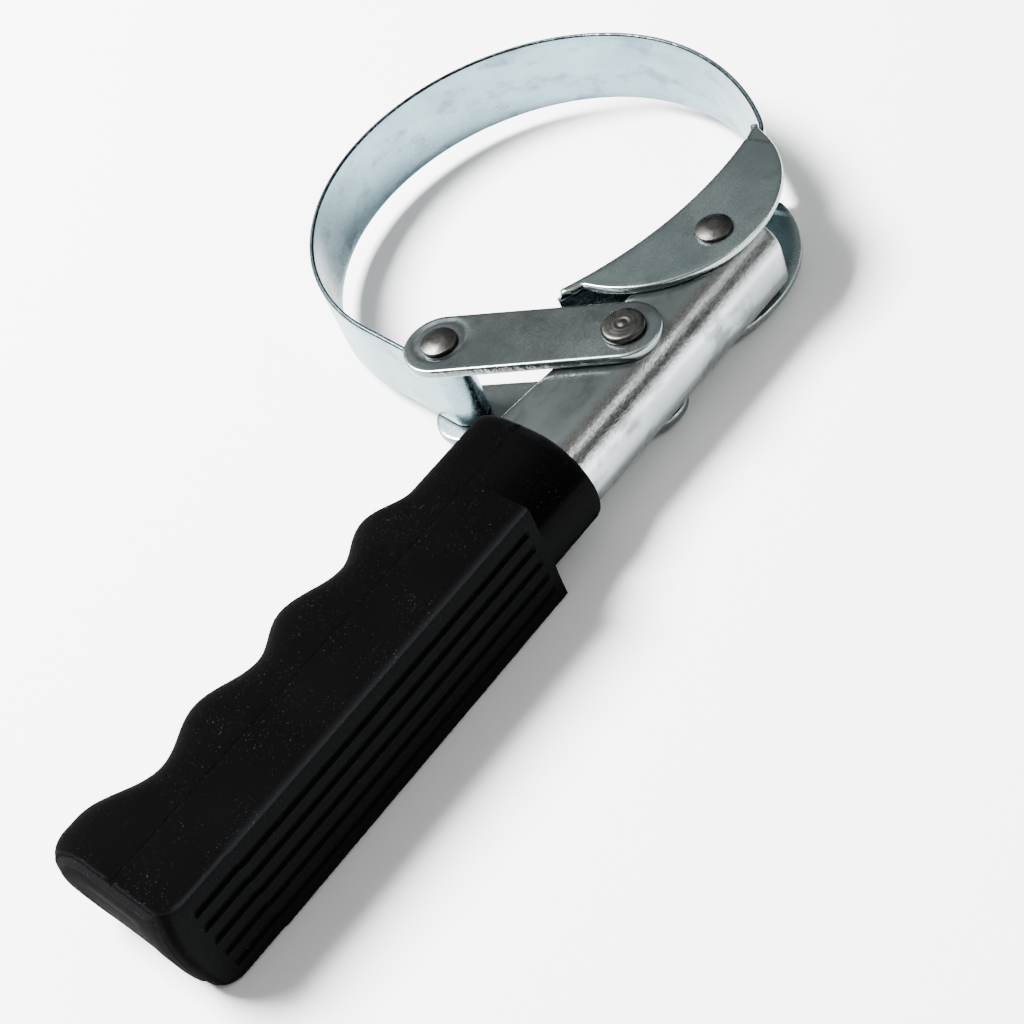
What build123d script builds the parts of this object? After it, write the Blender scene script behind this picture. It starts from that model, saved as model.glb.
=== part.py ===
from build123d import *
import math
import os

# Oil filter wrench: a sprung steel band, tightened by a swinging handle through a pair of links.
#
# Frame, in millimetres: the origin is the centre of the band's round stretch at mid width.
# Z is the band's axis, X runs along the handle from the grip to the pivot end, and the
# band lies on the +Y side of the handle.

# ---- driving dimensions ------------------------------------------------------------------
BAND_BORE_R = 45.0          # inner radius of the band's round stretch
BAND_T = 1.0                # band strip thickness
BAND_W = 16.9               # band strip width, along Z
SIDE_PLAY = 0.1             # gap between the moving sheet faces, along Z

HANDLE_DROP = 1.8           # band's bore to the line that the two handle pivots lie on
PIVOT_X = 1.0               # saddle pivot
PIVOT_SPACING = 27.5        # saddle pivot to link pivot
HANDLE_H = BAND_W           # channel height, along Z, level with the band
HANDLE_SHEET = 2.0
HANDLE_BEND_R = 5.9         # outer radius of the channel's two bends
HANDLE_BACK = 9.3           # pivot line to the outside of the channel's back
HANDLE_END = 6.3            # pivot to the channel's cut end
TANG_END_X = -140.0         # far end of the channel, inside the grip
LIP_AT_GRIP = 9.8           # pivot line to the flange edge, at the grip
LIP_TAPER = 0.105           # how fast the flanges narrow towards the pivot end
LIP_MIN = 4.6               # narrowest flange, beside the saddle pivot

EYE_OUT = 0.8               # the eye's centre, outside the band's middle line
EYE_POLAR_DEG = 199.7       # and its angle round the origin
EYE_BORE_R = 2.8
EYE_ROLL_DEG = 290.0        # how far the strip is rolled round the eye
FLEX_DEG = 55.0             # where the band flexes, as an angle round the origin
FLEX_GAP = 0.3              # gap between the two halves of the band there

LINK_T = 1.9
LINK_R_EYE = 7.3            # end radius at the eye
LINK_R_HANDLE = 7.0         # end radius at the handle
LINK_EDGE_R = 0.4

SADDLE_SHEET = 1.5
SADDLE_WEB_R = 75.4         # inner face of the saddle's web
SADDLE_WEB_CX = 14.4
SADDLE_WEB_RISE = 9.4       # pivot line to the web's lowest place
SADDLE_LEFT_X = -21.0       # where the flanges start
SADDLE_HEEL_X = -23.5       # cut end of the web and of the band inside it
SADDLE_TIP_X = 27.4         # where the flanges run out
SADDLE_BELLY_X = 5.0        # lowest point of the crescent flange
SADDLE_BELLY_DROP = 7.6     # pivot line to that point
SADDLE_NOSE_X = 24.3        # shoulder of the crescent, before its tip
SADDLE_NOSE_RISE = 2.8
SADDLE_EDGE_R = 1.45
SADDLE_HEEL_SET = 0.6       # how far the crescent leans in at its two cut corners
SADDLE_TOE_SET = 0.4
TONGUE_DEG = -40.5          # end of the web's tongue, as an angle round the origin

EASE_DEG = -15.0            # where the band leaves its round stretch beside the saddle
EASE_R = 58.2               # its flatter radius from there
TURN_R = 9.0                # and its tight turn into the saddle

WELD_R = 2.0                # spot weld marks on the web
WELD_DEPTH = 0.25
WELD_X = (-12.0, 1.0, 14.0)

SADDLE_RIVET_R = 2.5
LINK_RIVET_R = 2.5
EYE_RIVET_R = 2.0
EYE_RIVET_NECK_R = 1.75     # stepped ends of the eye's rivet
RUN_CLEARANCE = 0.06        # radial, rivet in the handle
SPACER_WALL = 0.8
DOME_HEAD = (3.85, 1.35)    # rivet head radius and height
FLAT_HEAD = (4.2, 1.6)
FLAT_CHAMFER = 0.55
CENTRE_MARK_R = 1.3         # turned mark on a flat head: rim, point and depth
CENTRE_MARK_TIP_R = 0.1
CENTRE_MARK_DEPTH = 0.35

GRIP_END_X = -53.2          # collar end
GRIP_BODY_X = -67.6         # where the flat-sided body starts
GRIP_BUTT_X = -156.4        # edge of the butt
GRIP_DOME = 2.2             # how far the butt swells past its edge
GRIP_HALF_H = 11.6
GRIP_PALM_DROP = 12.0       # pivot line to the palm side
COLLAR_PALM_DROP = 11.7
GRIP_VALLEY_RISE = 17.0     # pivot line to the finger side, between the ridges
RIDGE_H = 3.8
RIDGE_PITCH = 21.6
RIDGE_COUNT = 3
RIDGE_X = -81.5             # first ridge crest
RIDGE_LEAD = 9.5            # where the first ridge starts to rise, before its crest
RIDGE_FALL = 9.5            # crest to the valley after it
FLARE_H = 6.3
FLARE_START_X = -136.0
FLARE_X = -150.5
WAVE_STEPS = 4              # sections between a valley and a crest
GRIP_CORNER_R = 4.5         # palm and butt corner
GRIP_FLARE_DROP = 3.0       # rounding of the flare into the butt
COLLAR_EDGE_R = 0.8
GROOVES = 5
GROOVE_PITCH = 3.9
GROOVE_W = 1.7
GROOVE_DEPTH = 0.9
GROOVE_X = (-69.5, -152.0)

# ---- derived places ----------------------------------------------------------------------
BAND_MID_R = BAND_BORE_R + BAND_T / 2
SHEET_Z = HANDLE_H / 2 + SIDE_PLAY  # inner faces of the links and the flanges
HANDLE_Y = -BAND_BORE_R - HANDLE_DROP
EYE_POLAR_R = BAND_MID_R + EYE_OUT
GRIP_PALM_Y = HANDLE_Y - GRIP_PALM_DROP
COLLAR_PALM_Y = HANDLE_Y - COLLAR_PALM_DROP
GRIP_VALLEY_Y = HANDLE_Y + GRIP_VALLEY_RISE
SADDLE_WEB_CY = HANDLE_Y + SADDLE_WEB_RISE + SADDLE_WEB_R
PIVOT = Vector(PIVOT_X, HANDLE_Y)
LINK_PIVOT = Vector(PIVOT_X - PIVOT_SPACING, HANDLE_Y)
EYE_MID_R = EYE_BORE_R + BAND_T / 2
WEB_CENTRE = Vector(SADDLE_WEB_CX, SADDLE_WEB_CY)
WEB_BAND_R = SADDLE_WEB_R + SADDLE_SHEET + BAND_T / 2
ORIGIN = Vector(0, 0)


def polar(centre, radius, degrees):
    """A point at an angle round a centre."""
    turn = math.radians(degrees)
    return Vector(centre.X + radius * math.cos(turn), centre.Y + radius * math.sin(turn))


def angle_of(centre, point):
    """The angle of a point round a centre, in degrees."""
    return math.degrees(math.atan2(point.Y - centre.Y, point.X - centre.X))


EYE = polar(ORIGIN, EYE_POLAR_R, EYE_POLAR_DEG)


def meet(c1, r1, c2, r2):
    """The lower of the two points at r1 from c1 and r2 from c2."""
    apart = (c2 - c1).length
    along = (r1 * r1 - r2 * r2 + apart * apart) / (2 * apart)
    aside = math.sqrt(r1 * r1 - along * along)
    step = (c2 - c1) / apart
    foot = c1 + step * along
    ends = [foot + Vector(-step.Y, step.X) * s * aside for s in (1, -1)]
    return min(ends, key=lambda point: point.Y)


def arc_strip(centre, mid_r, start, stop, thick, low, high):
    """An upright curved strip between two angles in degrees, start before stop."""
    outer = mid_r + thick / 2
    inner = mid_r - thick / 2
    middle = (start + stop) / 2
    sides = [
        ThreePointArc(
            polar(centre, outer, start),
            polar(centre, outer, middle),
            polar(centre, outer, stop),
        ),
        Line(polar(centre, outer, stop), polar(centre, inner, stop)),
        ThreePointArc(
            polar(centre, inner, stop),
            polar(centre, inner, middle),
            polar(centre, inner, start),
        ),
        Line(polar(centre, inner, start), polar(centre, outer, start)),
    ]
    return Pos(0, 0, low) * extrude(make_face(sides), amount=high - low, dir=(0, 0, 1))


def straight_strip(start, stop, thick, low, high):
    """An upright flat strip centred on a line."""
    along = (stop - start) / (stop - start).length
    side = Vector(-along.Y, along.X) * (thick / 2)
    outline = make_face(Polyline(start + side, stop + side, stop - side, start - side, close=True))
    return Pos(0, 0, low) * extrude(outline, amount=high - low, dir=(0, 0, 1))


def post(centre, radius, low, high):
    """An upright cylinder between two heights."""
    return Pos(centre.X, centre.Y, (low + high) / 2) * Cylinder(radius, high - low)


def prism(sides, low, high):
    """An upright prism on an outline of edges."""
    return Pos(0, 0, low) * extrude(make_face(sides), amount=high - low, dir=(0, 0, 1))


# ---- the band's route beside the saddle --------------------------------------------------
EASE_CENTRE = polar(ORIGIN, BAND_MID_R - EASE_R, EASE_DEG)
TURN_CENTRE = meet(WEB_CENTRE, WEB_BAND_R - TURN_R, EASE_CENTRE, EASE_R - TURN_R)
TURN_START = angle_of(WEB_CENTRE, TURN_CENTRE)
TURN_STOP = angle_of(EASE_CENTRE, TURN_CENTRE)


def web_angle(x):
    """The angle round the web's centre where the web's inner face has this x."""
    return -math.degrees(math.acos((x - SADDLE_WEB_CX) / SADDLE_WEB_R))


def follow_saddle(offset, thick, half, stop_deg):
    """A strip on the band's route from the web's cut end to a stop on the eased stretch."""
    pieces = [
        arc_strip(WEB_CENTRE, WEB_BAND_R - offset, web_angle(SADDLE_HEEL_X), TURN_START, thick, -half, half),
        arc_strip(TURN_CENTRE, TURN_R - offset, TURN_START, TURN_STOP, thick, -half, half),
        arc_strip(EASE_CENTRE, EASE_R - offset, TURN_STOP, stop_deg, thick, -half, half),
    ]
    return pieces[0] + pieces[1] + pieces[2]


# ---- the pieces --------------------------------------------------------------------------
def make_band_fixed():
    """The strip from inside the saddle, round to where the band flexes."""
    half = BAND_W / 2
    gap = math.degrees(FLEX_GAP / 2 / BAND_MID_R)
    route = follow_saddle(0, BAND_T, half, EASE_DEG)
    return route + arc_strip(ORIGIN, BAND_MID_R, EASE_DEG, FLEX_DEG - gap, BAND_T, -half, half)


def make_band_free():
    """The strip from where the band flexes, round to its rolled eye."""
    half = BAND_W / 2
    gap = math.degrees(FLEX_GAP / 2 / BAND_MID_R)
    lean = math.degrees(math.acos((BAND_MID_R - EYE_MID_R) / EYE_POLAR_R))
    leave = EYE_POLAR_DEG - lean
    strip = arc_strip(ORIGIN, BAND_MID_R, FLEX_DEG + gap, leave, BAND_T, -half, half)
    strip += straight_strip(
        polar(ORIGIN, BAND_MID_R, leave), polar(EYE, EYE_MID_R, leave), BAND_T, -half, half
    )
    return strip + arc_strip(EYE, EYE_MID_R, leave, leave + EYE_ROLL_DEG, BAND_T, -half, half)


def flange_outline():
    """The crescent that both saddle flanges share."""
    left = polar(WEB_CENTRE, SADDLE_WEB_R, web_angle(SADDLE_LEFT_X))
    tip = polar(WEB_CENTRE, SADDLE_WEB_R, web_angle(SADDLE_TIP_X))
    middle = polar(WEB_CENTRE, SADDLE_WEB_R, web_angle((SADDLE_LEFT_X + SADDLE_TIP_X) / 2))
    heel = left + Vector(SADDLE_HEEL_SET, -SADDLE_SHEET - BAND_T)
    toe = tip + Vector(SADDLE_TOE_SET, -SADDLE_SHEET)
    belly = Vector(SADDLE_BELLY_X, HANDLE_Y - SADDLE_BELLY_DROP)
    nose = Vector(SADDLE_NOSE_X, HANDLE_Y + SADDLE_NOSE_RISE)
    return [
        ThreePointArc(left, middle, tip),
        Line(tip, toe),
        Line(toe, nose),
        ThreePointArc(nose, belly, heel),
        Line(heel, left),
    ]


def make_saddle():
    """The curved channel that carries the handle's pivot and the band's welded end."""
    high = SHEET_Z + SADDLE_SHEET
    web_offset = (SADDLE_SHEET + BAND_T) / 2
    web = arc_strip(
        WEB_CENTRE, WEB_BAND_R - web_offset, web_angle(SADDLE_LEFT_X), TURN_START,
        SADDLE_SHEET, -high, high,
    )
    body = prism(flange_outline(), -high, high)
    folds = [
        edge for edge in body.edges().filter_by(GeomType.CIRCLE)
        if abs(edge.radius - SADDLE_WEB_R) < 0.01
    ]
    body = fillet(folds, SADDLE_EDGE_R)
    body -= prism(flange_outline(), -SHEET_Z, SHEET_Z) - web
    body += follow_saddle(web_offset, SADDLE_SHEET, BAND_W / 2, TONGUE_DEG)
    body -= post(PIVOT, SADDLE_RIVET_R, -high, high)
    for x in WELD_X:
        spot = polar(WEB_CENTRE, SADDLE_WEB_R, web_angle(x))
        inward = (WEB_CENTRE - spot) / (WEB_CENTRE - spot).length
        plane = Plane(origin=tuple(spot), z_dir=tuple(inward))
        body -= plane * Cylinder(WELD_R, 2 * WELD_DEPTH)
    return body


def lip_y(x):
    """The flange edge of the handle channel."""
    wide = LIP_AT_GRIP - LIP_TAPER * max(0.0, x - GRIP_END_X)
    return HANDLE_Y + max(wide, LIP_MIN)


def make_channel_bar(sheet_inset):
    """A bar with the channel's outline, shrunk by an inset on its back and its two sides."""
    back = HANDLE_Y - HANDLE_BACK + sheet_inset
    front = HANDLE_Y + LIP_AT_GRIP
    half = HANDLE_H / 2 - sheet_inset
    length = PIVOT_X + HANDLE_END - TANG_END_X
    bar = Pos(TANG_END_X + length / 2, (back + front) / 2, 0) * Box(length, front - back, 2 * half)
    corners = bar.edges().filter_by(Axis.X).sort_by(Axis.Y)[:2]
    return fillet(corners, HANDLE_BEND_R - sheet_inset)


def make_handle():
    """The pressed channel: back, two large bends and two flanges that narrow to the pivot end."""
    channel = make_channel_bar(0) - make_channel_bar(HANDLE_SHEET)
    end_x = PIVOT_X + HANDLE_END
    knee_x = GRIP_END_X + (LIP_AT_GRIP - LIP_MIN) / LIP_TAPER
    front = HANDLE_Y + LIP_AT_GRIP
    knee_x = min(knee_x, end_x)
    corners = [(GRIP_END_X, front), (knee_x, lip_y(knee_x)), (end_x, lip_y(end_x)), (end_x, front)]
    if knee_x == end_x:
        corners.pop(1)
    trim = make_face(Polyline(*corners, close=True))
    channel -= Pos(0, 0, -HANDLE_H) * extrude(trim, amount=2 * HANDLE_H, dir=(0, 0, 1))
    channel -= post(PIVOT, SADDLE_RIVET_R + RUN_CLEARANCE, -HANDLE_H, HANDLE_H)
    channel -= post(LINK_PIVOT, LINK_RIVET_R + RUN_CLEARANCE, -HANDLE_H, HANDLE_H)
    return channel


def make_spacer(centre, rivet_r):
    """A tube round a rivet, that keeps the channel's flanges apart."""
    bore = rivet_r + RUN_CLEARANCE
    half = HANDLE_H / 2 - HANDLE_SHEET
    return post(centre, bore + SPACER_WALL, -half, half) - post(centre, bore, -half, half)


def make_link(side):
    """One flat link, above the handle for side 1 and below it for side -1."""
    discs = [
        Pos(EYE.X, EYE.Y) * Circle(LINK_R_EYE),
        Pos(LINK_PIVOT.X, LINK_PIVOT.Y) * Circle(LINK_R_HANDLE),
    ]
    outline = make_hull((discs[0] + discs[1]).edges())
    plate = Pos(0, 0, SHEET_Z) * extrude(outline, amount=LINK_T, dir=(0, 0, 1))
    plate = fillet(plate.faces().sort_by(Axis.Z)[-1].edges(), LINK_EDGE_R)
    plate -= post(EYE, EYE_RIVET_NECK_R, 0, 2 * SHEET_Z)
    plate -= post(LINK_PIVOT, LINK_RIVET_R, 0, 2 * SHEET_Z)
    return plate if side > 0 else mirror(plate, about=Plane.XY)


def dome_head(centre, face_z):
    """A low domed head standing on a sheet's upper face."""
    radius, height = DOME_HEAD
    ball_r = (radius * radius + height * height) / (2 * height)
    ball = Pos(centre.X, centre.Y, face_z + height - ball_r) * Sphere(ball_r)
    return ball & post(centre, 2 * radius, face_z, face_z + 2 * height)


def flat_head(centre, face_z):
    """A flat head with a bevelled rim and a turned mark at its centre."""
    radius, height = FLAT_HEAD
    disc = post(centre, radius, face_z, face_z + height)
    disc = chamfer(disc.faces().sort_by(Axis.Z)[-1].edges(), FLAT_CHAMFER)
    mark = Cone(CENTRE_MARK_TIP_R, CENTRE_MARK_R, CENTRE_MARK_DEPTH)
    return disc - Pos(centre.X, centre.Y, face_z + height - CENTRE_MARK_DEPTH / 2) * mark


def make_rivet(centre, shank_r, neck_r, face_z, head):
    """A rivet with the same head at both ends, stepped to a neck in the outer sheets."""
    upper = head(centre, face_z)
    rivet = post(centre, shank_r, -SHEET_Z, SHEET_Z) + post(centre, neck_r, -face_z, face_z)
    return rivet + upper + mirror(upper, about=Plane.XY)


def finger_waypoints():
    """Where the finger side turns level, as (x, y), from the collar to the butt."""
    points = [(GRIP_BODY_X, GRIP_VALLEY_Y), (RIDGE_X + RIDGE_LEAD, GRIP_VALLEY_Y)]
    for number in range(RIDGE_COUNT):
        crest = RIDGE_X - number * RIDGE_PITCH
        points.append((crest, GRIP_VALLEY_Y + RIDGE_H))
        points.append((crest - RIDGE_FALL, GRIP_VALLEY_Y))
    points[-1] = (FLARE_START_X, GRIP_VALLEY_Y)
    points.append((FLARE_X, GRIP_VALLEY_Y + FLARE_H))
    return points


def finger_stations():
    """The finger side's crown as (x, y), eased between its waypoints."""
    points = finger_waypoints()
    stations = [points[0]]
    for start, stop in zip(points, points[1:]):
        for step in range(1, WAVE_STEPS + 1):
            share = step / WAVE_STEPS
            ease = (1 - math.cos(math.pi * share)) / 2
            x = start[0] + (stop[0] - start[0]) * share
            stations.append((x, start[1] + (stop[1] - start[1]) * ease))
    stations.append((GRIP_BUTT_X - 2 * GRIP_DOME, points[-1][1]))
    return stations


def body_section(x, crown_y):
    """The body's section: a flat palm side with sharp corners and a half-round finger side."""
    side_y = crown_y - GRIP_HALF_H
    low = [(x, GRIP_PALM_Y, -GRIP_HALF_H), (x, side_y, -GRIP_HALF_H)]
    high = [(x, side_y, GRIP_HALF_H), (x, GRIP_PALM_Y, GRIP_HALF_H)]
    sides = [
        Line(low[0], low[1]),
        ThreePointArc(low[1], (x, crown_y, 0), high[0]),
        Line(high[0], high[1]),
        Line(high[1], low[0]),
    ]
    return make_face(sides)


def collar_section(x):
    """The collar's oval section."""
    finger_y = GRIP_VALLEY_Y - GRIP_HALF_H
    palm_y = COLLAR_PALM_Y + GRIP_HALF_H
    sides = [
        ThreePointArc(
            (x, finger_y, -GRIP_HALF_H), (x, GRIP_VALLEY_Y, 0), (x, finger_y, GRIP_HALF_H)
        ),
        Line((x, finger_y, GRIP_HALF_H), (x, palm_y, GRIP_HALF_H)),
        ThreePointArc((x, palm_y, GRIP_HALF_H), (x, COLLAR_PALM_Y, 0), (x, palm_y, -GRIP_HALF_H)),
        Line((x, palm_y, -GRIP_HALF_H), (x, finger_y, -GRIP_HALF_H)),
    ]
    return make_face(sides)


def butt_outline():
    """The block that the body is cut to, with its rounded butt."""
    butt_x = GRIP_BUTT_X
    flare_y = GRIP_VALLEY_Y + FLARE_H
    clear_y = flare_y + GRIP_HALF_H
    palm_end = Vector(butt_x, GRIP_PALM_Y + GRIP_CORNER_R)
    flare_end = Vector(butt_x, flare_y - GRIP_FLARE_DROP)
    bulge = Vector(butt_x - GRIP_DOME, (palm_end.Y + flare_end.Y) / 2)
    flare_top = Vector(butt_x + 2 * GRIP_FLARE_DROP, clear_y)
    corner = Vector(butt_x + GRIP_CORNER_R, GRIP_PALM_Y)
    return [
        Line((GRIP_BODY_X, GRIP_PALM_Y), (GRIP_BODY_X, clear_y)),
        Line((GRIP_BODY_X, clear_y), flare_top),
        TangentArc(flare_end, flare_top, tangent=(0, 1)),
        ThreePointArc(flare_end, bulge, palm_end),
        TangentArc(palm_end, corner, tangent=(0, -1)),
        Line(corner, (GRIP_BODY_X, GRIP_PALM_Y)),
    ]


def make_grip():
    """The moulded grip: an oval collar, a flat-sided body and a swelling butt."""
    collar_length = GRIP_END_X - GRIP_BODY_X
    collar = extrude(collar_section(GRIP_BODY_X), amount=collar_length, dir=(1, 0, 0))
    collar = fillet(collar.faces().sort_by(Axis.X)[-1].edges(), COLLAR_EDGE_R)
    body = loft([body_section(x, crown_y) for x, crown_y in finger_stations()])
    grip = collar + (body & prism(butt_outline(), -2 * GRIP_HALF_H, 2 * GRIP_HALF_H))

    for number in range(GROOVES):
        z = (number - (GROOVES - 1) / 2) * GROOVE_PITCH
        length = GROOVE_X[0] - GROOVE_X[1]
        slot = Pos(sum(GROOVE_X) / 2, GRIP_PALM_Y, z) * Box(length, 2 * GROOVE_DEPTH, GROOVE_W)
        grip -= slot
    return grip - (make_channel_bar(0) - make_channel_bar(HANDLE_SHEET))


# ---- write the pieces --------------------------------------------------------------------
LINK_FACE = SHEET_Z + LINK_T
SADDLE_FACE = SHEET_Z + SADDLE_SHEET

PARTS = {
    "saddle": make_saddle(),
    "band_fixed_half": make_band_fixed(),
    "band_free_half": make_band_free(),
    "saddle_rivet": make_rivet(PIVOT, SADDLE_RIVET_R, SADDLE_RIVET_R, SADDLE_FACE, dome_head),
    "handle_channel": make_handle(),
    "saddle_pivot_spacer": make_spacer(PIVOT, SADDLE_RIVET_R),
    "link_pivot_spacer": make_spacer(LINK_PIVOT, LINK_RIVET_R),
    "grip": make_grip(),
    "upper_link": make_link(1),
    "lower_link": make_link(-1),
    "link_rivet": make_rivet(LINK_PIVOT, LINK_RIVET_R, LINK_RIVET_R, LINK_FACE, flat_head),
    "eye_rivet": make_rivet(EYE, EYE_RIVET_R, EYE_RIVET_NECK_R, LINK_FACE, dome_head),
}

os.makedirs("parts", exist_ok=True)
for name, shape in PARTS.items():
    export_step(shape, f"parts/{name}.step")
    print(name, "volume %.0f mm3" % shape.volume, "solids", len(shape.solids()))
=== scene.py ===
import math

import bmesh
import bpy
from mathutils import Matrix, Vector, noise


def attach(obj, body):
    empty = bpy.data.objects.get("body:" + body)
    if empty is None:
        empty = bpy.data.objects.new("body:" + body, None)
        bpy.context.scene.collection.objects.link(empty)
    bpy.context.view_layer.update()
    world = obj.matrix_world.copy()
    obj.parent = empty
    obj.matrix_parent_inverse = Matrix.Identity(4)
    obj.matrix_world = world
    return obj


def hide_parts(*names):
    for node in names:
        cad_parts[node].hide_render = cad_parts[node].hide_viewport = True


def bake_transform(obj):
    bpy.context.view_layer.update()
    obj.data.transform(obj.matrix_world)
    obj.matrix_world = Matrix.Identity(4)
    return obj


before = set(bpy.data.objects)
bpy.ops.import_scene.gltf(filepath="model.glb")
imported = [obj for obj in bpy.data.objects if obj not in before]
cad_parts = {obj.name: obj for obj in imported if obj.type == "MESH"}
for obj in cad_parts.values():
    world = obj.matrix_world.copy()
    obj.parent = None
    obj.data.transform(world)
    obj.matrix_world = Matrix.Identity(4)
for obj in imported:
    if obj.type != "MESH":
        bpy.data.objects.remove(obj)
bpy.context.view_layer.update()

# Lengths below are in millimetres and turn into metres when a mesh is made.
MM = 0.001

# ---- sizes that the looks share with the CAD ------------------------------------------------
# the strip: thickness, half its width, and its round stretch's middle line
BAND_T, BAND_HALF = 1.0, 8.45
RING, RING_R = Vector((0.0, 0.0)), 45.5
# the rolled eye: its place seen from the ring's centre, its middle line and how far it rolls
EYE_DEG, EYE_POLAR_R = 199.7, 46.3
EYE_R, EYE_ROLL_DEG = 3.3, 290.0
# the strip's flatter arc along the web, and the two arcs that lead from it into the ring
WEB, WEB_BAND_R = Vector((14.4, 38.0)), 77.4
EASE_DEG, EASE_R, TURN_R = -15.0, 58.2, 9.0
# the saddle: its sheet, outer faces and heel, and where the marks of its spot welds are
SADDLE_SHEET, SADDLE_TOP, HEEL_X = 1.5, 10.05, -23.5
WELD_X, WELD_R = (-12.0, 1.0, 14.0), 2.0
# the two rivet axes in the handle, and the links' inner and outer faces
PIVOT = Vector((1.0, -46.8))
LINK_PIVOT = Vector((-26.5, -46.8))
SHEET_Z, LINK_TOP = 8.55, 10.45


def polar(centre, radius, degrees):
    """A point at an angle round a centre."""
    turn = math.radians(degrees)
    return centre + Vector((math.cos(turn), math.sin(turn))) * radius


def angle_of(centre, point):
    """The angle of a point round a centre, in degrees."""
    return math.degrees(math.atan2(point.y - centre.y, point.x - centre.x))


def meet(c1, r1, c2, r2):
    """The lower of the two points at r1 from c1 and r2 from c2."""
    apart = (c2 - c1).length
    along = (r1 * r1 - r2 * r2 + apart * apart) / (2 * apart)
    aside = math.sqrt(r1 * r1 - along * along)
    step = (c2 - c1) / apart
    foot = c1 + step * along
    side = Vector((-step.y, step.x)) * aside
    return min((foot + side, foot - side), key=lambda point: point.y)


EYE = polar(RING, EYE_POLAR_R, EYE_DEG)
EASE = polar(RING, RING_R - EASE_R, EASE_DEG)
TURN = meet(WEB, WEB_BAND_R - TURN_R, EASE, EASE_R - TURN_R)
TURN_START = angle_of(WEB, TURN)
TURN_STOP = angle_of(EASE, TURN)
# from the strip's middle line to the web's inner face
WEB_SHIFT = BAND_T / 2 + SADDLE_SHEET
HEEL_DEG = -math.degrees(math.acos((HEEL_X - WEB.x) / (WEB_BAND_R - WEB_SHIFT)))


def smooth(low, high, value):
    """0 below low, 1 above high, eased between."""
    share = min(1.0, max(0.0, (value - low) / (high - low)))
    return share * share * (3 - 2 * share)


def between(start, stop, steps, first=1, short=0):
    """Numbers in even steps from start to stop, from the first step to so many short of all."""
    return [start + (stop - start) * k / steps for k in range(first, steps + 1 - short)]


def quarter(steps, first=0):
    """The angles of a quarter turn in even steps, in radians."""
    return [math.radians(90 * k / steps) for k in range(first, steps + 1)]


def bell(value, middle, width):
    """1 at the middle, falling to nothing on both sides."""
    return math.exp(-((value - middle) / width) ** 2)


def mesh_piece(name, points, faces, sharp_deg):
    """A mesh object from points in millimetres, smooth shaded but for its sharp edges."""
    mesh = bpy.data.meshes.new(name)
    mesh.from_pydata([tuple(c * MM for c in p) for p in points], [], faces)
    mesh.validate()
    mesh.shade_smooth()
    mesh.set_sharp_from_angle(angle=math.radians(sharp_deg))
    piece = bpy.data.objects.new(name, mesh)
    bpy.context.scene.collection.objects.link(piece)
    return piece


def paint(piece, name, value_at):
    """Stores a number at every vertex, for the piece's material to read."""
    layer = piece.data.attributes.new(name, "FLOAT", "POINT")
    layer.data.foreach_set("value", [value_at(v) for v in piece.data.vertices])


def paint_edges(piece, low_deg=9, high_deg=32, spared=None):
    """Stores how sharply the skin turns at each vertex, for the materials' edge colours: painted
    shade on the band, painted highlight on the saddle and links, wear on the rivets, and wear with
    painted highlight on the grip.
    """
    normals = [[] for _ in piece.data.vertices]
    for face in piece.data.polygons:
        for index in face.vertices:
            normals[index].append(face.normal)
    low, high = math.radians(low_deg), math.radians(high_deg)

    def turn_at(vertex):
        if spared and spared(vertex.co):
            return 0.0
        around = normals[vertex.index]
        return max((around[0].angle(n, 0.0) for n in around), default=0.0)

    paint(piece, "edge", lambda vertex: smooth(low, high, turn_at(vertex)))


def loft(name, rings, sharp_deg):
    """A closed skin over rings of equal count, with both ends capped."""
    count = len(rings[0])
    points = [p for ring in rings for p in ring]
    faces = skin(len(rings), count)
    faces.append(tuple(reversed(range(count))))
    faces.append(tuple(range((len(rings) - 1) * count, len(rings) * count)))
    return mesh_piece(name, points, faces, sharp_deg)


def skin(ring_count, count):
    """The four-sided faces between rings of equal count that follow one another."""
    faces = []
    for r in range(ring_count - 1):
        for i in range(count):
            j = (i + 1) % count
            a, b = r * count + i, r * count + j
            faces.append((a, b, b + count, a + count))
    return faces


# ---- the band --------------------------------------------------------------------------------
BAND_STEP, BAND_EDGE_R, BAND_EDGE_STEPS, BAND_FLAT_STEPS = 1.2, 0.42, 4, 10
BAND_WAVE, BAND_WAVE_LENGTH, BAND_WAVE_SEED = 0.03, 17, 3.0


def arc_run(centre, radius, start, stop, step):
    """Points and outward normals along an arc, its last point left out."""
    length = abs(math.radians(stop - start)) * radius
    count = max(2, round(length / step))
    for i in range(count):
        degrees = start + (stop - start) * i / count
        yield polar(centre, radius, degrees), polar(RING, 1.0, degrees)


def band_route(step):
    """The strip's middle line, from the saddle's heel round to the end of its rolled eye."""
    leave = EYE_DEG - math.degrees(math.acos((RING_R - EYE_R) / EYE_POLAR_R))
    route = list(arc_run(WEB, WEB_BAND_R, HEEL_DEG, TURN_START, step))
    route += arc_run(TURN, TURN_R, TURN_START, TURN_STOP, step / 2)
    route += arc_run(EASE, EASE_R, TURN_STOP, EASE_DEG, step)
    route += arc_run(RING, RING_R, EASE_DEG, leave, step)
    start, stop = polar(RING, RING_R, leave), polar(EYE, EYE_R, leave)
    out = polar(RING, 1.0, leave)
    count = round((stop - start).length / step)
    route += [(start.lerp(stop, i / count), out) for i in range(count)]
    end = leave + EYE_ROLL_DEG
    route += arc_run(EYE, EYE_R, leave, end, step / 3)
    route.append((polar(EYE, EYE_R, end), polar(RING, 1.0, end)))
    return route


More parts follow.
